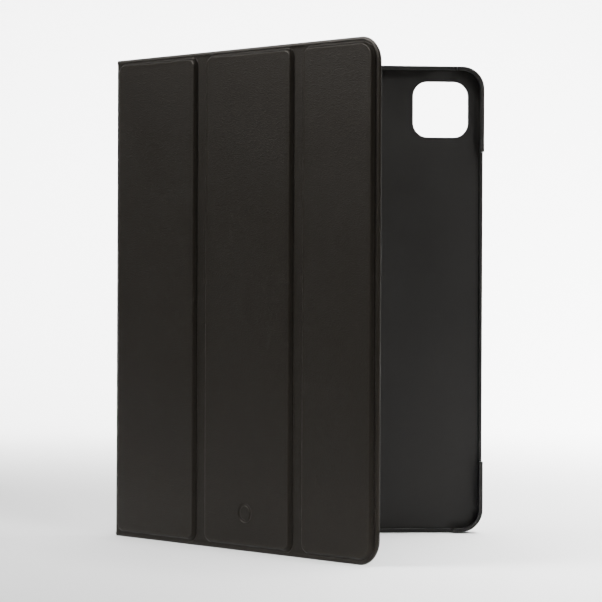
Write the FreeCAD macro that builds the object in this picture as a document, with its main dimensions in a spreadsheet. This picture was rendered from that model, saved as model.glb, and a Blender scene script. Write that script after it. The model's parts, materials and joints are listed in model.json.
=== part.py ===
import FreeCAD, Part
import math
import os

import Sketcher

# Tri-fold folio case for a large tablet. Millimetres, +Z up.
# The tray stands on its short edge with its opening facing -Y. The cover hangs from the spine on
# the tray's left side and stands partly open. The origin is at the foot of the back leather, in the
# middle of its thickness, in line with the left side of the tray.
# Cover pieces are built in the cover's own frame: X runs from the front spine crease to the free
# edge and Y runs from the leather to the lining.

DRIVING_SIZES = {
    "tablet_height": 280.6,
    "tablet_width": 214.9,
    "tablet_thickness": 6.4,
    "tablet_clearance": 0.25,
    "depth_clearance": 0.1,
    "tray_wall": 1.7,
    "tray_floor": 1.4,
    "tray_corner_radius": 13.7,
    "lip_height": 0.7,
    "lip_overhang": 0.6,
    "low_wall_rise": 2.0,
    "side_guard_top": 52.0,
    "side_guard_bottom": 43.0,
    "bottom_guard": 18.0,
    "power_notch_near": 16.5,
    "power_notch_far": 30.0,
    "volume_slot_near": 18.0,
    "volume_slot_far": 44.0,
    "button_slot_depth": 4.6,
    "speaker_slot_near": 38.0,
    "speaker_slot_far": 62.0,
    "speaker_slot_depth": 2.4,
    "camera_window": 34.0,
    "camera_window_radius": 9.0,
    "camera_centre_inset": 26.0,
    "adhesive_thickness": 0.2,
    "adhesive_inset": 1.5,
    "back_leather_thickness": 1.2,
    "leather_thickness": 1.1,
    "lining_thickness": 0.8,
    "lining_inset": 0.3,
    "board_thickness": 1.5,
    "leather_overhang": 0.75,
    "cover_overhang": 1.25,
    "cover_corner_radius": 14.5,
    "back_corner_radius": 13.0,
    "cover_gap": 0.4,
    "panel_margin": 3.7,
    "free_edge_margin": 5.2,
    "plateau_radius": 4.5,
    "plateau_free_radius": 8.5,
    "panel_1_span": 72.7,
    "fold_1_width": 6.1,
    "panel_2_span": 74.8,
    "fold_2_width": 5.9,
    "plateau_side_gap": 2.3,
    "spine_gap": 1.45,
    "spine_leather_thickness": 0.75,
    "spine_board_thickness": 0.6,
    "spine_board_inset": 2.0,
    "spine_crease_gap": 1.1,
    "back_crease_gap": 0.6,
    "fold_crease_gap": 0.8,
    "spine_tilt": 12.0,
    "cover_angle": 51.0,
    "magnet_thickness": 1.2,
    "magnet_width": 8.0,
    "magnet_length": 30.0,
    "magnet_edge_inset": 1.5,
    "stand_magnet_end_inset": 37.4,
    "closing_magnet_end_inset": 20.2,
    "cut_overlap": 0.5,
    "cut_overrun": 1.0,
}

DERIVED_SIZES = {
    "zero": "=0",
    "tray_back": "=-(adhesive_thickness + back_leather_thickness / 2)",
    "tray_width": "=tablet_width + 2 * (tablet_clearance + tray_wall)",
    "tray_height": "=tablet_height + 2 * (tablet_clearance + tray_wall)",
    "tray_low": "=leather_overhang",
    "tray_high": "=tray_low + tray_height",
    "tray_lip_level": "=tray_back - tray_floor - tablet_thickness - depth_clearance",
    "tray_front": "=tray_lip_level - lip_height",
    "tray_floor_level": "=tray_back - tray_floor",
    "low_wall_level": "=tray_floor_level - low_wall_rise",
    "beyond_front": "=tray_front - cut_overrun",
    "seat_left": "=tray_wall",
    "seat_right": "=tray_width - tray_wall",
    "seat_low": "=tray_low + tray_wall",
    "seat_high": "=tray_high - tray_wall",
    "seat_radius": "=tray_corner_radius - tray_wall",
    "mouth_left": "=seat_left + lip_overhang",
    "mouth_right": "=seat_right - lip_overhang",
    "mouth_low": "=seat_low + lip_overhang",
    "mouth_high": "=seat_high - lip_overhang",
    "mouth_radius": "=seat_radius - lip_overhang",
    "wall_inside_right": "=mouth_right - cut_overlap",
    "wall_inside_low": "=mouth_low + cut_overlap",
    "wall_inside_high": "=mouth_high - cut_overlap",
    "beyond_right": "=tray_width + cut_overrun",
    "beyond_low": "=tray_low - cut_overrun",
    "beyond_high": "=tray_high + cut_overrun",
    "side_low_wall_low": "=tray_low + side_guard_bottom",
    "side_low_wall_high": "=tray_high - side_guard_top",
    "bottom_low_wall_left": "=bottom_guard",
    "bottom_low_wall_right": "=tray_width - bottom_guard",
    "power_left": "=tray_width - power_notch_far",
    "power_right": "=tray_width - power_notch_near",
    "tablet_middle": "=tray_floor_level - tablet_thickness / 2",
    "button_back": "=tablet_middle + button_slot_depth / 2",
    "button_front": "=tablet_middle - button_slot_depth / 2",
    "volume_low": "=tray_high - volume_slot_far",
    "volume_high": "=tray_high - volume_slot_near",
    "speaker_back": "=tablet_middle + speaker_slot_depth / 2",
    "speaker_front": "=tablet_middle - speaker_slot_depth / 2",
    "speaker_1_left": "=speaker_slot_near",
    "speaker_1_right": "=speaker_slot_far",
    "speaker_2_left": "=tray_width - speaker_slot_far",
    "speaker_2_right": "=tray_width - speaker_slot_near",
    "camera_left": "=tray_width - camera_centre_inset - camera_window / 2",
    "camera_right": "=tray_width - camera_centre_inset + camera_window / 2",
    "camera_low": "=tray_high - camera_centre_inset - camera_window / 2",
    "camera_high": "=tray_high - camera_centre_inset + camera_window / 2",
    "film_left": "=adhesive_inset",
    "film_right": "=tray_width - adhesive_inset",
    "film_low": "=tray_low + adhesive_inset",
    "film_high": "=tray_high - adhesive_inset",
    "film_radius": "=tray_corner_radius - adhesive_inset",
    "back_inner": "=tray_back + adhesive_thickness",
    "back_outer": "=back_inner + back_leather_thickness",
    "beyond_back": "=back_outer + cut_overrun",
    "leather_high": "=tray_height + 2 * leather_overhang",
    "lining_low": "=lining_inset",
    "lining_high": "=leather_high - lining_inset",
    "half_thickness": "=(leather_thickness + lining_thickness) / 2",
    "lining_inner": "=half_thickness",
    "leather_inner": "=half_thickness - lining_thickness",
    "leather_outer": "=-half_thickness",
    "plateau_outer": "=leather_outer - board_thickness",
    "board_outer": "=leather_inner - board_thickness",
    "plateau_low": "=panel_margin",
    "plateau_high": "=leather_high - panel_margin",
    "board_low": "=plateau_low + leather_thickness",
    "board_high": "=plateau_high - leather_thickness",
    "board_radius": "=plateau_radius - leather_thickness",
    "board_free_radius": "=plateau_free_radius - leather_thickness",
    "rear_x": "=-spine_gap",
    "rear_y": "=back_inner + back_leather_thickness / 2",
    "back_left": "=rear_x + back_crease_gap",
    "spine_width": "=rear_y - tray_front + cover_gap + half_thickness",
    "front_x": "=rear_x - spine_width * sin(spine_tilt * 1deg)",
    "front_y": "=rear_y - spine_width * cos(spine_tilt * 1deg)",
    "spine_angle": "=90 + spine_tilt",
    "spine_left": "=spine_crease_gap",
    "spine_right": "=spine_width - spine_crease_gap",
    "spine_leather_inner": "=leather_outer + spine_leather_thickness",
    "spine_board_inner": "=spine_leather_inner + spine_board_thickness",
    "spine_board_left": "=spine_board_inset",
    "spine_board_right": "=spine_width - spine_board_inset",
    "cover_width": "=tray_width + cover_overhang",
    "crease_1a": "=panel_1_span",
    "crease_1b": "=crease_1a + fold_1_width",
    "crease_2a": "=crease_1b + panel_2_span",
    "crease_2b": "=crease_2a + fold_2_width",
    "panel_1_left": "=spine_crease_gap",
    "panel_1_right": "=crease_1a - fold_crease_gap",
    "fold_1_left": "=crease_1a + fold_crease_gap",
    "fold_1_right": "=crease_1b - fold_crease_gap",
    "panel_2_left": "=crease_1b + fold_crease_gap",
    "panel_2_right": "=crease_2a - fold_crease_gap",
    "fold_2_left": "=crease_2a + fold_crease_gap",
    "fold_2_right": "=crease_2b - fold_crease_gap",
    "panel_3_left": "=crease_2b + fold_crease_gap",
    "panel_3_right": "=cover_width",
    "lining_free_edge": "=cover_width - lining_inset",
    "lining_free_radius": "=cover_corner_radius - lining_inset",
    "plateau_1_left": "=plateau_side_gap",
    "plateau_1_right": "=crease_1a - plateau_side_gap",
    "plateau_2_left": "=crease_1b + plateau_side_gap",
    "plateau_2_right": "=crease_2a - plateau_side_gap",
    "plateau_3_left": "=crease_2b + plateau_side_gap",
    "plateau_3_right": "=cover_width - free_edge_margin",
    "board_1_left": "=plateau_1_left + leather_thickness",
    "board_1_right": "=plateau_1_right - leather_thickness",
    "board_2_left": "=plateau_2_left + leather_thickness",
    "board_2_right": "=plateau_2_right - leather_thickness",
    "board_3_left": "=plateau_3_left + leather_thickness",
    "board_3_right": "=plateau_3_right - leather_thickness",
    "stand_magnet_left": "=(board_1_left + board_1_right - magnet_width) / 2",
    "closing_magnet_left": "=board_3_right - magnet_edge_inset - magnet_width",
    "wake_magnet_left": "=board_3_left + magnet_edge_inset",
}

# Each row of magnets: its name, its left side, its gap to the board's ends and how many bars.
STAND_MAGNETS = ("panel_1_magnets", "stand_magnet_left", "stand_magnet_end_inset", 3)
CLOSING_MAGNETS = ("closing_magnets", "closing_magnet_left", "closing_magnet_end_inset", 4)
WAKE_MAGNET = ("wake_magnet", "wake_magnet_left", "closing_magnet_end_inset", 1)

QUARTER_TURN = math.pi / 2
LEAST_CUT = 0.01


def make_sheet(document):
    """Write the driving sizes and the sizes that follow from them."""
    sheet = document.addObject("Spreadsheet::Sheet", "Sizes")
    row = 1
    for table in (DRIVING_SIZES, DERIVED_SIZES):
        for word, value in table.items():
            sheet.set("A%d" % row, word)
            sheet.set("B%d" % row, str(value))
            sheet.setAlias("B%d" % row, word)
            row += 1
    document.recompute()
    return sheet


def plane_of(body, role):
    """Return the body's own origin plane with the given role."""
    for feature in body.Origin.OriginFeatures:
        if feature.Role == role:
            return feature
    raise ValueError("no plane " + role)


def place(item, spot, turn):
    """Put an item at a crease (a pair of sheet names), turned clockwise seen from above."""
    # A rotation by nothing keeps no axis, so it starts a quarter turn round.
    start = FreeCAD.Rotation(FreeCAD.Vector(0, 0, -1), 90)
    item.Placement = FreeCAD.Placement(FreeCAD.Vector(), start)
    item.setExpression("Placement.Base.x", "Sizes." + spot[0])
    item.setExpression("Placement.Base.y", "Sizes." + spot[1])
    item.setExpression("Placement.Rotation.Angle", "Sizes." + turn)


def place_on_cover(item):
    place(item, ("front_x", "front_y"), "cover_angle")


def place_on_spine(item):
    place(item, ("rear_x", "rear_y"), "spine_angle")


def make_body(document, name):
    body = document.addObject("PartDesign::Body", name)
    body.Label = name
    return body


def bind(sketch, constraint, word):
    """Add a constraint and tie its value to a sheet name."""
    index = sketch.addConstraint(constraint)
    sketch.setExpression("Constraints[%d]" % index, "Sizes." + word)


def corner_arc(centre, radius, start_angle):
    circle = Part.Circle(centre, FreeCAD.Vector(0, 0, 1), radius)
    return Part.ArcOfCircle(circle, start_angle, start_angle + QUARTER_TURN)


def add_outline(body, sheet, name, level, outline):
    """Draw a rectangle with rounded corners facing -Y, on a plane at the given Y level."""
    left, right, low, high, left_radius, right_radius = outline
    sketch = body.newObject("Sketcher::SketchObject", name)
    sketch.AttachmentSupport = [(plane_of(body, "XZ_Plane"), "")]
    sketch.MapMode = "FlatFace"
    sketch.setExpression("AttachmentOffset.Base.z", "-Sizes." + level)
    x_low, x_high = sheet.get(left), sheet.get(right)
    z_low, z_high = sheet.get(low), sheet.get(high)
    corners = (
        (x_low, z_low, 1, 1, left_radius),
        (x_high, z_low, -1, 1, right_radius),
        (x_high, z_high, -1, -1, right_radius),
        (x_low, z_high, 1, -1, left_radius),
    )
    ends = []
    for number, (x, z, x_way, z_way, radius_word) in enumerate(corners):
        radius = sheet.get(radius_word) if radius_word else 0.0
        along_x = FreeCAD.Vector(x + x_way * radius, z, 0)
        along_z = FreeCAD.Vector(x, z + z_way * radius, 0)
        ends.append((along_z, along_x) if number % 2 == 0 else (along_x, along_z))
    for number in range(4):
        start = ends[number][1]
        finish = ends[(number + 1) % 4][0]
        sketch.addGeometry(Part.LineSegment(start, finish), False)
    for number in (0, 2):
        sketch.addConstraint(Sketcher.Constraint("Horizontal", number))
    for number in (1, 3):
        sketch.addConstraint(Sketcher.Constraint("Vertical", number))
    for number, (x, z, x_way, z_way, radius_word) in enumerate(corners):
        before = (number + 3) % 4
        if not radius_word:
            sketch.addConstraint(Sketcher.Constraint("Coincident", before, 2, number, 1))
            continue
        radius = sheet.get(radius_word)
        centre = FreeCAD.Vector(x + x_way * radius, z + z_way * radius, 0)
        arc = sketch.addGeometry(corner_arc(centre, radius, (number + 2) % 4 * QUARTER_TURN), False)
        sketch.addConstraint(Sketcher.Constraint("Tangent", before, 2, arc, 1))
        sketch.addConstraint(Sketcher.Constraint("Tangent", arc, 2, number, 1))
        bind(sketch, Sketcher.Constraint("Radius", arc, radius), radius_word)
    bind(sketch, Sketcher.Constraint("DistanceX", -1, 1, 3, 1, x_low), left)
    bind(sketch, Sketcher.Constraint("DistanceX", -1, 1, 1, 1, x_high), right)
    bind(sketch, Sketcher.Constraint("DistanceY", -1, 1, 0, 1, z_low), low)
    bind(sketch, Sketcher.Constraint("DistanceY", -1, 1, 2, 1, z_high), high)
    return sketch


def add_pad(body, sheet, name, outline, back, front):
    """Add material inside an outline, from the back level to the front level."""
    sketch = add_outline(body, sheet, name + "_outline", back, outline)
    pad = body.newObject("PartDesign::Pad", name)
    pad.Profile = sketch
    pad.setExpression("Length", "Sizes.%s - Sizes.%s" % (back, front))
    body.Document.recompute()


def add_pocket(body, sheet, name, outline, back, front):
    """Take material away inside an outline, from the back level to the front level."""
    before = body.Shape.Volume
    sketch = add_outline(body, sheet, name + "_outline", back, outline)
    pocket = body.newObject("PartDesign::Pocket", name)
    pocket.Profile = sketch
    pocket.Reversed = True
    pocket.setExpression("Length", "Sizes.%s - Sizes.%s" % (back, front))
    check_cut(body, name, before)


def check_cut(body, name, volume_before):
    """Stop if the last feature took nothing away."""
    body.Document.recompute()
    if body.Shape.Volume >= volume_before - LEAST_CUT:
        raise ValueError(name + " cuts nothing")


def make_slab(document, sheet, name, outline, back, front):
    body = make_body(document, name)
    add_pad(body, sheet, name + "_pad", outline, back, front)
    return body


def camera_outline():
    return (
        "camera_left", "camera_right", "camera_low", "camera_high",
        "camera_window_radius", "camera_window_radius",
    )


def make_tray_shell(document, sheet):
    """Moulded shell: floor, corner guards with lips, low side walls, window and slots."""
    outline = ("zero", "tray_width", "tray_low", "tray_high", "tray_corner_radius", "tray_corner_radius")
    seat = ("seat_left", "seat_right", "seat_low", "seat_high", "seat_radius", "seat_radius")
    mouth = ("mouth_left", "mouth_right", "mouth_low", "mouth_high", "mouth_radius", "mouth_radius")
    body = make_slab(document, sheet, "tray_shell", outline, "tray_back", "tray_front")
    cuts = (
        ("mouth", mouth, "tray_lip_level", "beyond_front"),
        ("seat", seat, "tray_floor_level", "tray_lip_level"),
        ("side_low_wall", ("wall_inside_right", "beyond_right", "side_low_wall_low",
                           "side_low_wall_high", None, None), "low_wall_level", "beyond_front"),
        ("bottom_low_wall", ("bottom_low_wall_left", "bottom_low_wall_right", "beyond_low",
                             "wall_inside_low", None, None), "low_wall_level", "beyond_front"),
        ("power_notch", ("power_left", "power_right", "wall_inside_high", "beyond_high",
                         None, None), "low_wall_level", "beyond_front"),
        ("volume_slot", ("wall_inside_right", "beyond_right", "volume_low", "volume_high",
                         None, None), "button_back", "button_front"),
        ("speaker_slot_1", ("speaker_1_left", "speaker_1_right", "wall_inside_high",
                            "beyond_high", None, None), "speaker_back", "speaker_front"),
        ("speaker_slot_2", ("speaker_2_left", "speaker_2_right", "wall_inside_high",
                            "beyond_high", None, None), "speaker_back", "speaker_front"),
        ("tray_window", camera_outline(), "tray_back", "tray_floor_level"),
    )
    for name, area, back, front in cuts:
        add_pocket(body, sheet, name, area, back, front)
    return body


def make_tray_adhesive(document, sheet):
    outline = ("film_left", "film_right", "film_low", "film_high", "film_radius", "film_radius")
    body = make_slab(document, sheet, "tray_adhesive", outline, "back_inner", "tray_back")
    add_pocket(body, sheet, "film_window", camera_outline(), "back_inner", "tray_back")
    return body


def make_back_leather(document, sheet):
    outline = ("back_left", "tray_width", "zero", "leather_high", None, "back_corner_radius")
    body = make_slab(document, sheet, "back_leather", outline, "back_outer", "back_inner")
    add_pocket(body, sheet, "back_window", camera_outline(), "beyond_back", "back_inner")
    return body


def make_spine(document, sheet):
    """Spine: leather skived thin over a flexible board, with the lining inside."""
    leather = ("spine_left", "spine_right", "zero", "leather_high", None, None)
    board = ("spine_board_left", "spine_board_right", "board_low", "board_high", None, None)
    lining = ("spine_left", "spine_right", "lining_low", "lining_high", None, None)
    spine_leather = make_slab(
        document, sheet, "spine_leather", leather, "spine_leather_inner", "leather_outer"
    )
    spine_board = make_slab(
        document, sheet, "spine_board", board, "spine_board_inner", "spine_leather_inner"
    )
    spine_lining = make_slab(
        document, sheet, "spine_lining", lining, "lining_inner", "spine_leather_inner"
    )
    add_pocket(
        spine_lining, sheet, "spine_lining_recess", board, "spine_board_inner", "spine_leather_inner"
    )
    for item in (spine_leather, spine_board, spine_lining):
        place_on_spine(item)
    return [spine_leather, spine_board, spine_lining]


def make_panel(document, sheet, number, *magnet_rows):
    """One stiff panel: leather raised over a board, the board, and the flat lining."""
    left, right = "panel_%d_left" % number, "panel_%d_right" % number
    is_free = number == 3
    edge_radius = "cover_corner_radius" if is_free else None
    plateau_radius = "plateau_free_radius" if is_free else "plateau_radius"
    board_radius = "board_free_radius" if is_free else "board_radius"
    plateau = (
        "plateau_%d_left" % number, "plateau_%d_right" % number,
        "plateau_low", "plateau_high", "plateau_radius", plateau_radius,
    )
    board_area = (
        "board_%d_left" % number, "board_%d_right" % number,
        "board_low", "board_high", "board_radius", board_radius,
    )
    lining_right = "lining_free_edge" if is_free else right
    lining_radius = "lining_free_radius" if is_free else None
    name = "panel_%d" % number

    leather = make_slab(
        document, sheet, name + "_leather",
        (left, right, "zero", "leather_high", None, edge_radius), "leather_inner", "leather_outer",
    )
    add_pad(leather, sheet, name + "_plateau", plateau, "leather_outer", "plateau_outer")
    add_pocket(leather, sheet, name + "_board_space", board_area, "leather_inner", "board_outer")

    board = make_slab(document, sheet, name + "_board", board_area, "leather_inner", "board_outer")
    lining = make_slab(
        document, sheet, name + "_lining",
        (left, lining_right, "lining_low", "lining_high", None, lining_radius),
        "lining_inner", "leather_inner",
    )
    items = [leather, board, lining]
    for row in magnet_rows:
        items.append(make_magnets(document, board, *row))
    for item in items:
        place_on_cover(item)
    return items


def make_magnets(document, board, group, across, end_inset, count):
    """Bar magnets let into the board's outer face, evenly spaced, as one group."""
    lowest = "Sizes.board_low + Sizes." + end_inset
    travel = "(Sizes.board_high - Sizes.board_low - 2 * Sizes.%s - Sizes.magnet_length)" % end_inset
    bars = []
    for number in range(count):
        name = "%s_%d" % (group, number + 1)
        share = number / (count - 1) if count > 1 else 0.5
        bottom = "%s + %s * %s" % (lowest, share, travel)
        bar = document.addObject("Part::Box", name + "_bar")
        bar.setExpression("Length", "Sizes.magnet_width")
        bar.setExpression("Width", "Sizes.magnet_thickness")
        bar.setExpression("Height", "Sizes.magnet_length")
        bar.setExpression("Placement.Base.x", "Sizes." + across)
        bar.setExpression("Placement.Base.y", "Sizes.board_outer")
        bar.setExpression("Placement.Base.z", bottom)
        bars.append(bar)
        add_magnet_space(board, name, across, bottom)
    magnets = document.addObject("Part::Compound", group)
    magnets.Label = group
    magnets.Links = bars
    return magnets


def add_magnet_space(board, name, across, bottom):
    """Cut one magnet's space in the board as a subtractive box."""
    before = board.Shape.Volume
    space = board.newObject("PartDesign::SubtractiveBox", name + "_space")
    space.AttachmentSupport = [(plane_of(board, "XY_Plane"), "")]
    space.MapMode = "FlatFace"
    space.setExpression("Length", "Sizes.magnet_width")
    space.setExpression("Width", "Sizes.magnet_thickness")
    space.setExpression("Height", "Sizes.magnet_length")
    space.setExpression("AttachmentOffset.Base.x", "Sizes." + across)
    space.setExpression("AttachmentOffset.Base.y", "Sizes.board_outer")
    space.setExpression("AttachmentOffset.Base.z", bottom)
    check_cut(board, name, before)


def make_fold(document, sheet, number):
    """The flexible strip between two panels."""
    name = "fold_%d" % number
    left, right = name + "_left", name + "_right"
    leather = make_slab(
        document, sheet, name + "_leather",
        (left, right, "zero", "leather_high", None, None), "leather_inner", "leather_outer",
    )
    lining = make_slab(
        document, sheet, name + "_lining",
        (left, right, "lining_low", "lining_high", None, None), "lining_inner", "leather_inner",
    )
    for item in (leather, lining):
        place_on_cover(item)
    return [leather, lining]


def check_model(document, items):
    """Stop if any object failed or any piece is missing, invalid or empty."""
    for item in document.Objects:
        if "Invalid" in item.State or "Error" in item.State:
            raise ValueError("failed object " + item.Name)
    for item in items:
        if item.Shape.isNull() or not item.Shape.isValid() or item.Shape.Volume <= 0:
            raise ValueError("bad shape " + item.Label)


def export_parts(items):
    os.makedirs("parts", exist_ok=True)
    for item in items:
        item.Shape.exportStep("parts/%s.step" % item.Label)


def main():
    document = FreeCAD.newDocument("tablet_folio")
    sheet = make_sheet(document)
    items = [
        make_tray_shell(document, sheet),
        make_tray_adhesive(document, sheet),
        make_back_leather(document, sheet),
    ]
    items += make_spine(document, sheet)
    items += make_panel(document, sheet, 1, STAND_MAGNETS)
    items += make_fold(document, sheet, 1)
    items += make_panel(document, sheet, 2)
    items += make_fold(document, sheet, 2)
    items += make_panel(document, sheet, 3, CLOSING_MAGNETS, WAKE_MAGNET)
    document.recompute()
    check_model(document, items)
    export_parts(items)


main()
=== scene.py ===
import json
import math

import bmesh
import bpy
import numpy as np
from mathutils import Matrix, Vector


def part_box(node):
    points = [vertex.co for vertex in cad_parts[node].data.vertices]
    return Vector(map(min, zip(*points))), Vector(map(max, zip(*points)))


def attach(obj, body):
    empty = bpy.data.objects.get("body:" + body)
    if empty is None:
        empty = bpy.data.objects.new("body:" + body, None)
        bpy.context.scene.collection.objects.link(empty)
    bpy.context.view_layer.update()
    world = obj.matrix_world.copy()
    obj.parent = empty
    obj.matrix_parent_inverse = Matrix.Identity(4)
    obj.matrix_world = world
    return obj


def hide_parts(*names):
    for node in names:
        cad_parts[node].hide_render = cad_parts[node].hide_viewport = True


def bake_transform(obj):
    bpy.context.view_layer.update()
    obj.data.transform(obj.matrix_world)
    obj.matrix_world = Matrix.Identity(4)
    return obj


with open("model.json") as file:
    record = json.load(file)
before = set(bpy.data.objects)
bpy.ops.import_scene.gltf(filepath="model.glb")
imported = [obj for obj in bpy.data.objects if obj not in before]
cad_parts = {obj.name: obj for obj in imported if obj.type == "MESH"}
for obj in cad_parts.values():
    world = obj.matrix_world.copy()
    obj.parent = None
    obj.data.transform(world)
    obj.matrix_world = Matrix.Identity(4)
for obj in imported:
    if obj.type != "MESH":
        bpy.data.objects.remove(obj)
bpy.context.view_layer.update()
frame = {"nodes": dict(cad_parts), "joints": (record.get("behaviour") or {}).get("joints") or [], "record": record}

MM = 0.001
JOINTS = {joint["name"]: joint for joint in frame["joints"]}


# ---------------------------------------------------------------- sizes read from the frame

def joint_point(name):
    """Where a crease stands, seen from above, in millimetres."""
    return np.array(JOINTS[name]["pos_m"][:2], float) / MM


REAR = joint_point("spine_rear")
FRONT = joint_point("spine_front")
FOLD_1A = joint_point("fold_1a")
COVER_WAY = (FOLD_1A - FRONT) / np.linalg.norm(FOLD_1A - FRONT)
SPINE_WAY = (FRONT - REAR) / np.linalg.norm(FRONT - REAR)
BACK_WAY = np.array([-1.0, 0.0])
SPINE_WIDTH = float(np.linalg.norm(FRONT - REAR))


def along_cover(name):
    return float((joint_point(name) - FRONT) @ COVER_WAY)


CREASE_1A, CREASE_1B = along_cover("fold_1a"), along_cover("fold_1b")
CREASE_2A, CREASE_2B = along_cover("fold_2a"), along_cover("fold_2b")


def cover_span(node):
    """How far a node reaches along the cover and in height, in millimetres."""
    points = np.array([v.co for v in frame["nodes"][node].data.vertices], float) / MM
    along = (points[:, :2] - FRONT) @ COVER_WAY
    return along.min(), along.max(), points[:, 2].min(), points[:, 2].max()


LEATHER = 1.1
HEIGHT = cover_span("panel_1_leather")[3]
COVER_WIDTH = cover_span("panel_3_leather")[1]
BOARDS = [cover_span("panel_%d_board" % number) for number in (1, 2, 3)]
PLATEAUS = [(b[0] - LEATHER, b[1] + LEATHER, b[2] - LEATHER, b[3] + LEATHER) for b in BOARDS]
PLATEAU_RADII = [(4.5, 4.5), (4.5, 4.5), (4.5, 8.5)]

OUTER, MIDDLE, INNER = -0.95, 0.15, 0.95
RISE = 1.5
SPINE_INNER = -0.2
BACK_HALF = 0.6
CORNER, BACK_CORNER = 14.5, 13.0
LINING_INSET = 0.3
FOLD_BEND, SPINE_BEND = 1.1, 1.6
MOTIF_AT, MOTIF_RADIUS, MOTIF_DEPTH = (115.6, 21.8), 4.7, 0.4
MOTIF_HALF_LINE, MOTIF_SLOPE = 0.95, 0.5

# a panel's slope: its foot's reach, what the free side adds and the spine side takes off
FOOT, FREE_FOOT, SPINE_FOOT, SHOULDER = 1.3, 0.7, 0.6, 0.5
FREE_REACH, SPINE_REACH = 5.0, 4.0
GROOVE_REACH, GROOVE_END = 3.0, 4.0
POCKET_GAP, POCKET_SLOPE = 0.25, 0.2
LEATHER_TURN, BACK_TURN, LINING_TURN = 0.55, 0.5, 0.4
GROOVE_DEPTH, BEAD_RISE, LINING_PRESS, BACK_PRESS, CREASE_DENT = 0.5, 0.26, 0.12, 0.1, 0.16

# how far from its edge or rim each line lies, and its half width
GROOVE, BEAD, PRESS = (1.9, 0.42), (1.5, 0.75), (2.2, 0.35)
RIM_WEAR, EDGE_WEAR, BACK_WEAR = (-0.9, 0.8), (0.5, 0.9), (0.5, 0.8)
CREASE_HALF = 0.55

OPEN_SIDE, NO_RIM = -400.0, 50.0
SHARP = math.radians(50)


# ---------------------------------------------------------------- smooth shapes

def smooth(t):
    t = np.clip(t, 0.0, 1.0)
    return t * t * (3 - 2 * t)


def bell(x, centre, width):
    return np.exp(-(((x - centre) / width) ** 2))


def round_box(u, z, area, radii):
    """Signed distance to a rectangle whose left and right corners are rounded."""
    left, right, low, high = area
    middle_u, middle_z = (left + right) / 2, (low + high) / 2
    radius = np.where(u > middle_u, radii[1], radii[0])
    qx = np.abs(u - middle_u) - (right - left) / 2 + radius
    qz = np.abs(z - middle_z) - (high - low) / 2 + radius
    outside = np.hypot(np.maximum(qx, 0), np.maximum(qz, 0))
    return outside + np.minimum(np.maximum(qx, qz), 0) - radius


def cover_edge(u, z):
    """Distance inward from the cover's outline: top, bottom and free edge."""
    area = (OPEN_SIDE, COVER_WIDTH, 0.0, HEIGHT)
    return -round_box(u, z, area, (0.0, CORNER))


def turned(distance, radius):
    """How far a turned edge falls away, by distance from the outline."""
    left = np.clip(radius - distance, 0, radius)
    return radius - np.sqrt(np.maximum(radius * radius - left * left, 0))


def plateau_share(u, z):
    """0 on the soft margins and 1 on top of a raised panel, with the distance to its rim.
    A panel's slope is long towards the free edge and short towards the spine."""
    share = np.zeros_like(u)
    rim = np.full_like(u, NO_RIM)
    for area, radii in zip(PLATEAUS, PLATEAU_RADII):
        distance = round_box(u, z, area, radii)
        toward_free = smooth((u - area[1] + FREE_REACH) / FREE_REACH)
        toward_spine = smooth((area[0] + SPINE_REACH - u) / SPINE_REACH)
        foot = FOOT + FREE_FOOT * toward_free - SPINE_FOOT * toward_spine
        share = np.maximum(share, smooth((foot - distance) / (foot + SHOULDER)))
        rim = np.where(np.abs(distance) < np.abs(rim), distance, rim)
    return share, rim


def leather_outer(u, z):
    share, rim = plateau_share(u, z)
    edge = cover_edge(u, z)
    free_side = sum(
        smooth((u - area[1] + GROOVE_REACH) / GROOVE_REACH) * (u < area[1] + GROOVE_END)
        for area in PLATEAUS
    )
    level = OUTER - RISE * share
    level = level + GROOVE_DEPTH * free_side * bell(rim, *GROOVE) * (1 - share)
    level = level - BEAD_RISE * bell(edge, *BEAD) * (1 - share)
    ring = np.hypot(u - MOTIF_AT[0], z - MOTIF_AT[1])
    off_line = np.abs(ring - MOTIF_RADIUS)
    level = level + MOTIF_DEPTH * smooth((MOTIF_HALF_LINE - off_line) / MOTIF_SLOPE)
    return level + turned(edge, LEATHER_TURN)


def glue_level(u):
    """Where leather and lining meet, which is lower over the spine, whose leather is skived."""
    toward_spine = smooth(-u / SPINE_BEND / 2 + 0.5)
    return MIDDLE + (SPINE_INNER - MIDDLE) * toward_spine


def leather_inner(u, z):
    """The leather's hidden side, hollow where each board lies."""
    hollow = np.zeros_like(u)
    for area, radii in zip(BOARDS, PLATEAU_RADII):
        distance = round_box(u, z, area, (radii[0] - LEATHER, radii[1] - LEATHER))
        hollow = np.maximum(hollow, smooth((POCKET_GAP - distance) / POCKET_SLOPE))
    return glue_level(u) - RISE * hollow


def lining_outer(u, z):
    """The lining's glued side."""
    return glue_level(u)


def lining_inner(u, z):
    edge = cover_edge(u, z) - LINING_INSET
    level = np.full_like(u, INNER)
    for crease in (CREASE_1A, CREASE_1B, CREASE_2A, CREASE_2B):
        level = level - CREASE_DENT * bell(u, crease, CREASE_HALF)
    level = level - LINING_PRESS * bell(edge, *PRESS)
    return level - turned(edge, LINING_TURN)


# ---------------------------------------------------------------- grids

ROW_STEP, COLUMN_STEP, BACK_STEP = 8.0, 6.0, 8.0
CLOSEST, FINEST = 0.045, 0.03
CORNER_START, CORNER_RUN = 2.8, 14
CREASE_REACH, CREASE_COLUMNS = 3, 31


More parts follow.
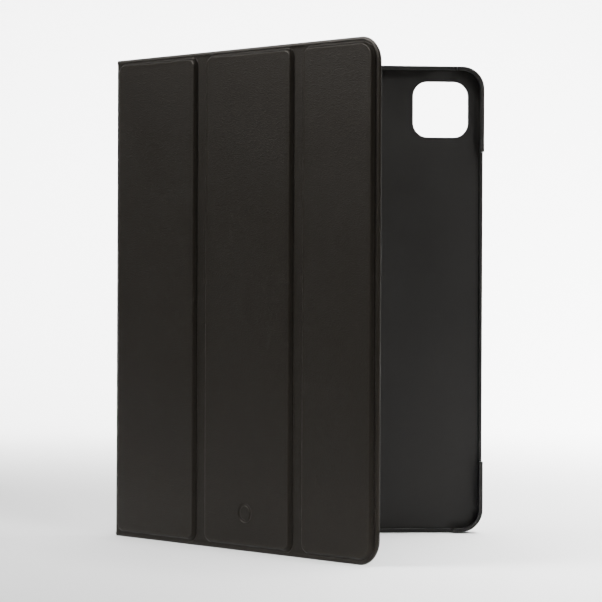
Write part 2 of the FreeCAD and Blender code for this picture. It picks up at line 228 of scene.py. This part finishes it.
def spread(low, high, spots, step):
    """Values from low to high, a step apart, with finer ones around each spot.
    A spot is its place, its reach to each side and its own step."""
    values = list(np.linspace(low, high, max(2, int((high - low) / step) + 1)))
    for spot, reach, fine in spots:
        values += list(np.arange(spot - reach, spot + reach + fine / 2, fine))
    values = np.array(sorted(v for v in values if low <= v <= high))
    kept = [low]
    for value in values:
        if value - kept[-1] > CLOSEST:
            kept.append(value)
    if high - kept[-1] < CLOSEST:
        kept.pop()
    kept.append(high)
    return np.array(kept)


def thinned(values):
    """The values in order, without those that come too soon after the one before."""
    values = np.array(sorted(set(values)))
    return values[np.insert(np.diff(values) > FINEST, 0, True)]


EDGE_SPOTS = [0.0, 0.05, 0.12, 0.22, 0.36, 0.55, 0.8, 1.1, 1.4, 1.7, 2.0, 2.4]


def heights(extra=()):
    """Row heights as if the cover had square corners."""
    spots = [(p, 2.6, 0.3) for p in (PLATEAUS[0][2], PLATEAUS[0][3])]
    spots += [(p, 9.0, 0.6) for p in (PLATEAUS[0][2] + 4, PLATEAUS[0][3] - 4)]
    spots += list(extra)
    rows = list(spread(0.0, HEIGHT, spots, ROW_STEP))
    rows += EDGE_SPOTS + [HEIGHT - d for d in EDGE_SPOTS]
    rows = sorted(set(np.round(rows, 3)))
    kept = [rows[0]]
    for row in rows[1:]:
        if row - kept[-1] > FINEST:
            kept.append(row)
    kept[-1] = HEIGHT
    return np.array(kept)


def columns(low, high, extra=()):
    spots = [(crease, 1.8, 0.2) for crease in (0.0, CREASE_1A, CREASE_1B, CREASE_2A, CREASE_2B)]
    for area in PLATEAUS:
        spots += [(area[0], 2.4, 0.3), (area[1], 2.4, 0.3)]
        spots += [(area[0] + 3, 3.0, 0.6), (area[1] - 3, 5.0, 0.6)]
    spots += list(extra)
    values = spread(low, high, spots, COLUMN_STEP)
    if high >= COVER_WIDTH - 1:
        ends = [high - d for d in EDGE_SPOTS + list(np.arange(CORNER_START, CORNER_RUN, 0.5))]
        values = thinned(np.round(list(values) + ends, 3))
        values[-1] = high
    return values


def mark_surface(mesh, flat, wear):
    """Give a skin its flat coordinates as a UV map, and how worn each of its points is."""
    layer = mesh.uv_layers.new(name="flat")
    corners = np.zeros(len(mesh.loops), np.int32)
    mesh.loops.foreach_get("vertex_index", corners)
    layer.data.foreach_set("uv", (np.array(flat) * MM)[corners].astype(np.float32).ravel())
    worn = mesh.attributes.new("wear", "FLOAT", "POINT")
    worn.data.foreach_set("value", np.array(wear, np.float32))


def add_object(name, data):
    made = bpy.data.objects.new(name, data)
    bpy.context.scene.collection.objects.link(made)
    return made


def smooth_piece(name, mesh):
    """Shade a mesh smooth, apart from its sharp edges, and put it in the scene."""
    mesh.polygons.foreach_set("use_smooth", np.ones(len(mesh.polygons), bool))
    mesh.set_sharp_from_angle(angle=SHARP)
    return add_object(name, mesh)


def solid_mesh(name, outer, inner, flat, wear):
    """A closed skin from two matching grids of points."""
    rows, cols = outer.shape[:2]
    count = rows * cols
    points = np.concatenate([outer.reshape(-1, 3), inner.reshape(-1, 3)]) * MM
    index = np.arange(count).reshape(rows, cols)
    a, b = index[:-1, :-1].ravel(), index[:-1, 1:].ravel()
    c, d = index[1:, 1:].ravel(), index[1:, :-1].ravel()
    faces = np.stack([a, b, c, d], 1).tolist()
    faces += (np.stack([d, c, b, a], 1) + count).tolist()
    rim = list(index[0, :]) + list(index[1:, -1])
    rim += list(index[-1, -2::-1]) + list(index[-2:0:-1, 0])
    for here, there in zip(rim, rim[1:] + rim[:1]):
        faces.append([there, here, here + count, there + count])
    mesh = bpy.data.meshes.new(name)
    mesh.from_pydata(points.tolist(), [], faces)
    mark_surface(mesh, np.concatenate([flat.reshape(-1, 2)] * 2), np.concatenate([wear.ravel()] * 2))
    mesh.validate()
    shaped = bmesh.new()
    shaped.from_mesh(mesh)
    bmesh.ops.recalc_face_normals(shaped, faces=shaped.faces)
    shaped.to_mesh(mesh)
    shaped.free()
    return smooth_piece(name, mesh)


def turn(vector, angle):
    """Turn a plan direction by each of the given angles."""
    c, s = np.cos(angle), np.sin(angle)
    return np.stack([vector[0] * c - vector[1] * s, vector[0] * s + vector[1] * c], -1)


def bent(s, v, pivot, way_before, way_after, reach):
    """Plan position of a skin point: s runs through a crease at 0, v across the thickness."""
    angle = math.atan2(
        way_before[0] * way_after[1] - way_before[1] * way_after[0], float(way_before @ way_after)
    )
    share = smooth((s + reach) / (2 * reach)) * angle
    across = np.array([-way_before[1], way_before[0]])
    return pivot + s[..., None] * turn(way_before, share) + v[..., None] * turn(across, share)


def skin(name, s_values, z_values, outer, inner, place, corner_inset=None):
    """Build one skin. Where the free corners are round the rows are drawn in to follow them."""
    s, z = np.meshgrid(s_values, z_values)
    if corner_inset is not None:
        radius = CORNER - corner_inset
        into = np.clip(s - (s_values[-1] - radius), 0, radius)
        drawn = radius - np.sqrt(np.maximum(radius * radius - into * into, 0))
        low, high = z_values[0], z_values[-1]
        z = low + drawn + (z - low) * (high - low - 2 * drawn) / (high - low)
    out_level, in_level = outer(s, z), inner(s, z)
    outer_points = np.concatenate([place(s, out_level), z[..., None]], -1)
    inner_points = np.concatenate([place(s, in_level), z[..., None]], -1)
    _, rim = plateau_share(s, z)
    wear = np.maximum(bell(rim, *RIM_WEAR), 0.8 * bell(cover_edge(s, z), *EDGE_WEAR))
    return solid_mesh(name, outer_points, inner_points, np.stack([s, z], -1), wear)


def place_flat(s, v):
    across = np.array([-COVER_WAY[1], COVER_WAY[0]])
    return FRONT + s[..., None] * COVER_WAY + v[..., None] * across


def place_front(s, v):
    return bent(s, v, FRONT, SPINE_WAY, COVER_WAY, SPINE_BEND)


def place_rear(s, v):
    return bent(s, v, REAR, BACK_WAY, SPINE_WAY, SPINE_BEND)


# ---------------------------------------------------------------- materials

def material(name, color, roughness, specular=0.5):
    made = bpy.data.materials.new(name)
    made.use_nodes = True
    tree = made.node_tree
    shader = tree.nodes["Principled BSDF"]
    shader.inputs["Base Color"].default_value = (*color, 1)
    shader.inputs["Roughness"].default_value = roughness
    shader.inputs["Specular IOR Level"].default_value = specular
    return made, tree, shader


def texture(tree, kind, source, scale, **settings):
    node = tree.nodes.new(kind)
    node.inputs["Scale"].default_value = scale
    for socket, value in settings.items():
        node.inputs[socket].default_value = value
    tree.links.new(source, node.inputs["Vector"])
    return node


def math_node(tree, operation, a, b):
    node = tree.nodes.new("ShaderNodeMath")
    node.operation = operation
    for socket, value in zip(node.inputs, (a, b)):
        if isinstance(value, (int, float)):
            socket.default_value = value
        else:
            tree.links.new(value, socket)
    return node.outputs[0]


def ranged(tree, source, low, high, to_low, to_high):
    node = tree.nodes.new("ShaderNodeMapRange")
    limits = {"From Min": low, "From Max": high, "To Min": to_low, "To Max": to_high}
    for socket, value in limits.items():
        node.inputs[socket].default_value = value
    tree.links.new(source, node.inputs["Value"])
    return node.outputs["Result"]


def mixed(tree, share, first, second):
    node = tree.nodes.new("ShaderNodeMix")
    node.data_type = "RGBA"
    node.inputs["A"].default_value = (*first, 1)
    node.inputs["B"].default_value = (*second, 1)
    tree.links.new(share, node.inputs["Factor"])
    return node.outputs["Result"]


def bump(tree, shader, height, strength, distance):
    node = tree.nodes.new("ShaderNodeBump")
    node.inputs["Strength"].default_value = strength
    node.inputs["Distance"].default_value = distance
    tree.links.new(height, node.inputs["Height"])
    tree.links.new(node.outputs["Normal"], shader.inputs["Normal"])


def flat_coordinates(tree):
    node = tree.nodes.new("ShaderNodeUVMap")
    node.uv_map = "flat"
    return node.outputs["UV"]


def leather_material():
    made, tree, shader = material("satin_leather", (0.014, 0.012, 0.0095), 0.4, 0.16)
    source = flat_coordinates(tree)
    pebble = texture(tree, "ShaderNodeTexVoronoi", source, 1500.0)
    fine = texture(tree, "ShaderNodeTexNoise", source, 3200.0, Detail=3.0, Roughness=0.6)
    cloud = texture(tree, "ShaderNodeTexNoise", source, 24.0, Detail=4.0, Roughness=0.55)
    wear = tree.nodes.new("ShaderNodeAttribute")
    wear.attribute_name = "wear"
    tone = math_node(tree, "MULTIPLY", cloud.outputs["Fac"], 0.5)
    worn = math_node(tree, "MULTIPLY", wear.outputs["Fac"], 0.55)
    share = math_node(tree, "ADD", tone, worn)
    color = mixed(tree, share, (0.0030, 0.0025, 0.0017), (0.0078, 0.0066, 0.0048))
    tree.links.new(color, shader.inputs["Base Color"])
    gloss = ranged(tree, cloud.outputs["Fac"], 0.3, 0.7, 0.43, 0.37)
    polish = math_node(tree, "MULTIPLY", wear.outputs["Fac"], 0.09)
    gloss = math_node(tree, "SUBTRACT", gloss, polish)
    tree.links.new(gloss, shader.inputs["Roughness"])
    fine_share = math_node(tree, "MULTIPLY", fine.outputs["Fac"], 0.7)
    grain = math_node(tree, "ADD", pebble.outputs["Distance"], fine_share)
    bump(tree, shader, grain, 0.6, 0.00013)
    shader.inputs["Specular Tint"].default_value = (1.0, 0.91, 0.81, 1)
    return made


def lining_material():
    made, tree, shader = material("microfibre", (0.03, 0.028, 0.026), 0.92, 0.2)
    shader.inputs["Sheen Weight"].default_value = 0.12
    shader.inputs["Sheen Roughness"].default_value = 0.45
    source = flat_coordinates(tree)
    fibre = texture(tree, "ShaderNodeTexNoise", source, 2600.0, Detail=4.0, Roughness=0.7)
    brushed = texture(
        tree, "ShaderNodeTexNoise", source, 60.0, Detail=5.0, Roughness=0.65, Distortion=0.8
    )
    color = mixed(tree, brushed.outputs["Fac"], (0.014, 0.013, 0.012), (0.03, 0.028, 0.026))
    tree.links.new(color, shader.inputs["Base Color"])
    bump(tree, shader, fibre.outputs["Fac"], 0.5, 0.0002)
    return made


def solid_material(name, dark, light, roughness, grain_scale, strength, specular=0.4, metallic=0.0):
    """A grainy material for the carried-over CAD nodes, mapped in object space."""
    made, tree, shader = material(name, dark, roughness, specular)
    shader.inputs["Metallic"].default_value = metallic
    coordinates = tree.nodes.new("ShaderNodeTexCoord").outputs["Object"]
    grain = texture(tree, "ShaderNodeTexNoise", coordinates, grain_scale, Detail=3.0, Roughness=0.6)
    cloud = texture(tree, "ShaderNodeTexNoise", coordinates, 35.0, Detail=3.0, Roughness=0.5)
    tree.links.new(mixed(tree, cloud.outputs["Fac"], dark, light), shader.inputs["Base Color"])
    uneven = ranged(tree, cloud.outputs["Fac"], 0.3, 0.7, roughness - 0.04, roughness + 0.05)
    tree.links.new(uneven, shader.inputs["Roughness"])
    bump(tree, shader, grain.outputs["Fac"], strength, 0.00015)
    return made


LEATHER_LOOK = leather_material()
LINING_LOOK = lining_material()


def dress(piece, look):
    piece.data.materials.append(look)
    return piece


# ---------------------------------------------------------------- the leather and its lining

HALF_SPINE = SPINE_WIDTH / 2
PANEL_1_MIDDLE = CREASE_1A / 2
FOLD_1_MIDDLE = (CREASE_1A + CREASE_1B) / 2
PANEL_2_SEAM = 128.0
FOLD_2_MIDDLE = (CREASE_2A + CREASE_2B) / 2
MOTIF_COLUMNS = [(MOTIF_AT[0], 6.4, 0.2)]
MOTIF_ROWS = [(MOTIF_AT[1], 6.4, 0.2)]
LINING_START = 1.1

# name, the bodies whose leather and lining it stands for, run along the cover, crease
COVER_RUNS = (
    ("spine_front", ("spine", "panel_1"), (-HALF_SPINE, PANEL_1_MIDDLE), 0.0),
    ("panel_1_fold", ("panel_1", "fold_1"), (PANEL_1_MIDDLE, FOLD_1_MIDDLE), CREASE_1A),
    ("panel_2_near", ("fold_1", "panel_2"), (FOLD_1_MIDDLE, PANEL_2_SEAM), CREASE_1B),
    ("panel_2_fold", ("panel_2", "fold_2"), (PANEL_2_SEAM, FOLD_2_MIDDLE), CREASE_2A),
    ("panel_3_free", ("fold_2", "panel_3"), (FOLD_2_MIDDLE, COVER_WIDTH), CREASE_2B),
)


def build_cover():
    for name, bodies, (low, high), crease in COVER_RUNS:
        is_free = high == COVER_WIDTH
        at_spine = crease == 0.0
        place = place_front if at_spine else place_flat
        has_motif = low < MOTIF_AT[0] < high
        cols = columns(low, high, MOTIF_COLUMNS if has_motif else ())
        rows = heights(MOTIF_ROWS if has_motif else ())
        leather = skin(
            "leather_" + name, cols, rows, leather_outer, leather_inner, place, 0.0 if is_free else None
        )
        lining_rows = LINING_INSET + rows * (HEIGHT - 2 * LINING_INSET) / HEIGHT
        lining_high = high - LINING_INSET if is_free else high
        lining_cols = low + (columns(low, high) - low) * (lining_high - low) / (high - low)
        lining = skin(
            "lining_" + name, lining_cols, lining_rows, lining_outer, lining_inner, place,
            LINING_INSET if is_free else None,
        )
        reach = SPINE_BEND if at_spine else FOLD_BEND
        start = place(np.array(crease - reach), np.array(0.0))
        end = place(np.array(crease + reach), np.array(0.0))
        for piece, look, kind in ((leather, LEATHER_LOOK, "leather"), (lining, LINING_LOOK, "lining")):
            dress(piece, look)
            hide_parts(*["%s_%s" % (body, kind) for body in bodies])
            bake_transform(piece)


def build_spine_lining():
    """The lining's half next to the tray, which only moves with the spine."""
    cols = spread(LINING_START, HALF_SPINE, [(LINING_START, 1.0, 0.1)], 0.5)
    rows = LINING_INSET + heights() * (HEIGHT - 2 * LINING_INSET) / HEIGHT

    def glued(s, z):
        return np.full_like(s, SPINE_INNER)

    def soft(s, z):
        from_end = cover_edge(np.full_like(s, -1.0), z) - LINING_INSET
        return INNER - turned(np.minimum(s - LINING_START, from_end), LINING_TURN)

    piece = skin("lining_spine_rear", cols, rows, glued, soft, place_rear)
    dress(piece, LINING_LOOK)
    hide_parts("spine_lining")
    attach(piece, "spine")


# ---------------------------------------------------------------- the back leather

BACK_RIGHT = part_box("back_leather")[1].x / MM
TRAY_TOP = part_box("tray_shell")[1].z / MM
WINDOW_CENTRE = (BACK_RIGHT - 26.0, TRAY_TOP - 26.0)
WINDOW_HALF, WINDOW_RADIUS, PATCH_HALF = 17.0, 9.0, 21.0
WINDOW_GAPS = (2.8, 2.2, 1.6, 0.9, 0.5, 0.3, 0.15, 0.05, 0.0)
PATCH_LINES, HALVINGS = 33, 40


def back_edge(x, z):
    """Distance inward from the back leather's outline."""
    return -round_box(x, z, (OPEN_SIDE, BACK_RIGHT, 0.0, HEIGHT), (0.0, BACK_CORNER))


def back_levels(s, x, z):
    """Outer and inner levels of the leather from the tray's back on to the spine, and its wear."""
    toward_spine = smooth(s / SPINE_BEND / 2 + 0.5)
    edge = back_edge(x, z)
    window = round_box(
        x, z,
        (WINDOW_CENTRE[0] - WINDOW_HALF, WINDOW_CENTRE[0] + WINDOW_HALF,
         WINDOW_CENTRE[1] - WINDOW_HALF, WINDOW_CENTRE[1] + WINDOW_HALF),
        (WINDOW_RADIUS, WINDOW_RADIUS),
    )
    rim = np.minimum(edge, np.maximum(window, 0))
    outer = -BACK_HALF + (OUTER + BACK_HALF) * toward_spine
    inner = BACK_HALF + (SPINE_INNER - BACK_HALF) * toward_spine
    outer = outer + turned(rim, BACK_TURN) + BACK_PRESS * bell(rim, *PRESS)
    return outer, inner, bell(rim, *BACK_WEAR)


def back_grid():
    """Columns and rows of the back and the spine's rear half, and the patch around the window."""
    run = BACK_RIGHT - REAR[0]
    left = -(WINDOW_CENTRE[0] + PATCH_HALF - REAR[0])
    right = left + 2 * PATCH_HALF
    low, high = WINDOW_CENTRE[1] - PATCH_HALF, WINDOW_CENTRE[1] + PATCH_HALF
    cols = list(np.arange(right, -CREASE_REACH, BACK_STEP)) + [HALF_SPINE]
    cols += list(np.linspace(-CREASE_REACH, CREASE_REACH, CREASE_COLUMNS))
    cols += list(np.linspace(left, right, PATCH_LINES)) + [-run + CORNER_RUN, left]
    cols += [-run + d for d in EDGE_SPOTS + list(np.arange(CORNER_START, CORNER_RUN, 0.6))]
    rows = [z for z in heights() if not low < z < high] + list(np.linspace(low, high, PATCH_LINES))
    return thinned(np.round(cols, 4)), thinned(np.round(rows, 4)), (left, right, low, high)


def follow_corners(s, z):
    """Draw a point of the square plan in to the back's round free corners."""
    into = min(max(-s - (BACK_RIGHT - REAR[0] - BACK_CORNER), 0), BACK_CORNER)
    drawn = BACK_CORNER - math.sqrt(max(BACK_CORNER ** 2 - into ** 2, 0))
    if z < BACK_CORNER:
        return s, drawn + z * (BACK_CORNER - drawn) / BACK_CORNER
    if z > HEIGHT - BACK_CORNER:
        return s, HEIGHT - drawn - (HEIGHT - z) * (BACK_CORNER - drawn) / BACK_CORNER
    return s, z


def toward_window(point, centre, gap):
    """The place, on the way from a point to the window's centre, that is a gap outside its rim."""
    way = np.array(point) - centre
    area = (-WINDOW_HALF, WINDOW_HALF, -WINDOW_HALF, WINDOW_HALF)
    near, far = 0.2, 1.0
    for _ in range(HALVINGS):
        share = (near + far) / 2
        at = way * share
        inside = round_box(at[0], at[1], area, (WINDOW_RADIUS, WINDOW_RADIUS)) < gap
        near, far = (share, far) if inside else (near, share)
    return tuple(centre + way * near)


def window_rings(s_values, z_values, patch):
    """Rings of points from the patch's outline to the window's rim."""
    left, right, low, high = patch
    inside_s = [s for s in s_values if left - 0.01 <= s <= right + 0.01]
    inside_z = [z for z in z_values if low - 0.01 <= z <= high + 0.01]
    around = [(s, inside_z[0]) for s in inside_s[:-1]] + [(inside_s[-1], z) for z in inside_z[:-1]]
    around += [(s, inside_z[-1]) for s in inside_s[:0:-1]]
    around += [(inside_s[0], z) for z in inside_z[:0:-1]]
    around = [follow_corners(s, z) for s, z in around]
    centre = np.array([(left + right) / 2, WINDOW_CENTRE[1]])
    return [around] + [[toward_window(p, centre, gap) for p in around] for gap in WINDOW_GAPS]


def back_cells():
    """The corners of each face in the back's flat plan: the grid, then the rings at the window."""
    s_values, z_values, patch = back_grid()
    left, right, low, high = patch
    cells = []
    for s0, s1 in zip(s_values, s_values[1:]):
        for z0, z1 in zip(z_values, z_values[1:]):
            if left < (s0 + s1) / 2 < right and low < (z0 + z1) / 2 < high:
                continue
            square = ((s0, z0), (s1, z0), (s1, z1), (s0, z1))
            cells.append([follow_corners(s, z) for s, z in square])
    rings = window_rings(s_values, z_values, patch)
    for outer_ring, inner_ring in zip(rings, rings[1:]):
        for n in range(len(outer_ring)):
            m = (n + 1) % len(outer_ring)
            cells.append([outer_ring[n], outer_ring[m], inner_ring[m], inner_ring[n]])
    return cells


def close_rim(shaped, points):
    """Join the two sides of the skin along each open edge."""
    pairs = {v: points.get((s, z, 1 - side)) for (s, z, side), v in points.items()}
    fronts = {v for (_, _, side), v in points.items() if side == 0}
    open_edges = [e for e in shaped.edges if len(e.link_faces) == 1]
    for edge in open_edges:
        a, b = edge.verts
        if a in fronts and b in fronts and pairs[a] and pairs[b]:
            shaped.faces.new([a, b, pairs[b], pairs[a]])


def build_back():
    shaped = bmesh.new()
    points, flat, wear = {}, [], []

    def vertex(s, z, side):
        """The skin's vertex at a place in the plan: side 0 is outside and 1 inside."""
        key = (round(float(s), 3), round(float(z), 3), side)
        if key not in points:
            outer, inner, worn = back_levels(np.array(s), np.array(REAR[0] - s), np.array(z))
            at = place_rear(np.array(float(s)), np.array(float(inner if side else outer)))
            points[key] = shaped.verts.new((at[0] * MM, at[1] * MM, z * MM))
            flat.append((s, z))
            wear.append(float(worn))
        return points[key]

    for corners in back_cells():
        for side in (0, 1):
            ring = [vertex(s, z, side) for s, z in corners]
            if len(set(ring)) >= 3:
                shaped.faces.new(list(dict.fromkeys(ring if side else ring[::-1])))
    close_rim(shaped, points)
    bmesh.ops.recalc_face_normals(shaped, faces=shaped.faces)
    mesh = bpy.data.meshes.new("leather_back")
    shaped.to_mesh(mesh)
    shaped.free()
    mark_surface(mesh, flat, wear)
    piece = smooth_piece("leather_back", mesh)
    dress(piece, LEATHER_LOOK)
    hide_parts("back_leather", "spine_leather")
    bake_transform(piece)


# ---------------------------------------------------------------- the carried-over CAD nodes

def soften_edges(node, width):
    """Round a moulded piece's edges a little, so that they catch the light."""
    weld = node.modifiers.new("weld", "WELD")
    weld.merge_threshold = 0.00001
    bevel = node.modifiers.new("bevel", "BEVEL")
    bevel.width = width
    bevel.segments = 2
    bevel.limit_method = "ANGLE"
    bevel.angle_limit = SHARP
    bevel.harden_normals = True


def dress_cad_nodes():
    shell = solid_material(
        "matte_shell", (0.0045, 0.0041, 0.0034), (0.008, 0.0073, 0.0062), 0.46, 2200.0, 0.3, 0.2
    )
    film = solid_material("bonding_film", (0.02, 0.019, 0.016), (0.035, 0.033, 0.028), 0.5, 400.0, 0.1)
    card = solid_material("greyboard", (0.2, 0.17, 0.13), (0.3, 0.26, 0.2), 0.9, 900.0, 0.6)
    steel = solid_material("magnet_steel", (0.5, 0.5, 0.5), (0.62, 0.62, 0.62), 0.3, 900.0, 0.1, 0.5, 1.0)
    looks = {"shell": shell, "adhesive": film, "board": card, "magnet": steel}
    slots = {entry["node"]: entry["material_slot"] for entry in frame["record"]["subparts"]}
    for name, node in frame["nodes"].items():
        look = looks.get(slots[name])
        if look is None:
            continue
        node.data.materials.clear()
        node.data.materials.append(look)
    soften_edges(frame["nodes"]["tray_shell"], 0.0004)


# ---------------------------------------------------------------- floor, light and camera

FLOOR_FRONT, FLOOR_BACK, FLOOR_HALF = -3.0, 1.0, 4.0
SWEEP, WALL_TOP = 0.6, 4.0


def build_stage():
    """A floor that curves up into a wall behind the object."""
    profile = [(FLOOR_FRONT, 0.0), (FLOOR_BACK, 0.0)]
    for angle in np.linspace(0, math.pi / 2, 16)[1:]:
        profile.append((FLOOR_BACK + SWEEP * math.sin(angle), SWEEP - SWEEP * math.cos(angle)))
    profile.append((FLOOR_BACK + SWEEP, WALL_TOP))
    points, faces = [], []
    for y, z in profile:
        points += [(-FLOOR_HALF, y, z), (FLOOR_HALF, y, z)]
    for n in range(len(profile) - 1):
        faces.append([2 * n, 2 * n + 1, 2 * n + 3, 2 * n + 2])
    mesh = bpy.data.meshes.new("floor")
    mesh.from_pydata(points, [], faces)
    mesh.polygons.foreach_set("use_smooth", np.ones(len(mesh.polygons), bool))
    floor = add_object("floor", mesh)
    look, _, _ = material("pale_floor", (0.86, 0.86, 0.86), 0.9, 0.1)
    mesh.materials.append(look)


# name, place, target, size in metres, power in watts, beam in degrees
LIGHTS = (
    ("left", (-1.15, -0.25, 1.05), (0.09, -0.12, 0.26), (0.9, 0.6), 7, 62),
    ("right", (0.9, -1.3, 1.1), (0.17, 0.0, 0.12), (0.7, 0.7), 2.2, 50),
    ("top", (0.95, 0.5, 2.0), (0.95, 0.55, 0), (0.6, 1.2), 45, 50),
    ("front", (0.45, -0.4, 1.8), (0.45, -0.3, 0), (0.3, 0.3), 3.2, 30),
    ("backdrop", (0.5, 0.95, 1.9), (0.35, 1.75, 0.5), (2.0, 0.5), 115, 90),
)
WORLD_STRENGTH = 0.13


def area_light(name, place, target, size, power, beam):
    data = bpy.data.lights.new(name, "AREA")
    data.shape = "RECTANGLE"
    data.size, data.size_y = size
    data.energy = power
    data.spread = math.radians(beam)
    lamp = add_object(name, data)
    lamp.location = place
    lamp.rotation_euler = (Vector(target) - Vector(place)).to_track_quat("-Z", "Y").to_euler()


def build_light():
    world = bpy.data.worlds.new("studio")
    world.use_nodes = True
    background = world.node_tree.nodes["Background"]
    background.inputs["Color"].default_value = (1, 1, 1, 1)
    background.inputs["Strength"].default_value = WORLD_STRENGTH
    bpy.context.scene.world = world
    for light in LIGHTS:
        area_light(*light)


CAMERA_AT = (-0.0178, -1.4657, 0.1513)
CAMERA_YAW, CAMERA_PITCH, CAMERA_ROLL = 4.889, -0.375, 0.23
LENS, SENSOR = 143.96, 36.0


def build_camera():
    yaw, pitch, roll = [math.radians(a) for a in (CAMERA_YAW, CAMERA_PITCH, CAMERA_ROLL)]
    ahead = Vector((math.sin(yaw) * math.cos(pitch), math.cos(yaw) * math.cos(pitch), math.sin(pitch)))
    level = Vector((math.cos(yaw), -math.sin(yaw), 0.0))
    upward = level.cross(ahead)
    right = level * math.cos(roll) + upward * math.sin(roll)
    upward = -level * math.sin(roll) + upward * math.cos(roll)
    data = bpy.data.cameras.new("camera")
    data.sensor_width = SENSOR
    data.lens = LENS
    camera = add_object("camera", data)
    turned_to = Matrix((right, upward, -ahead)).transposed().to_4x4()
    camera.matrix_world = Matrix.Translation(CAMERA_AT) @ turned_to
    bpy.context.scene.camera = camera


build_cover()
build_spine_lining()
build_back()
dress_cad_nodes()
build_stage()
build_light()
build_camera()
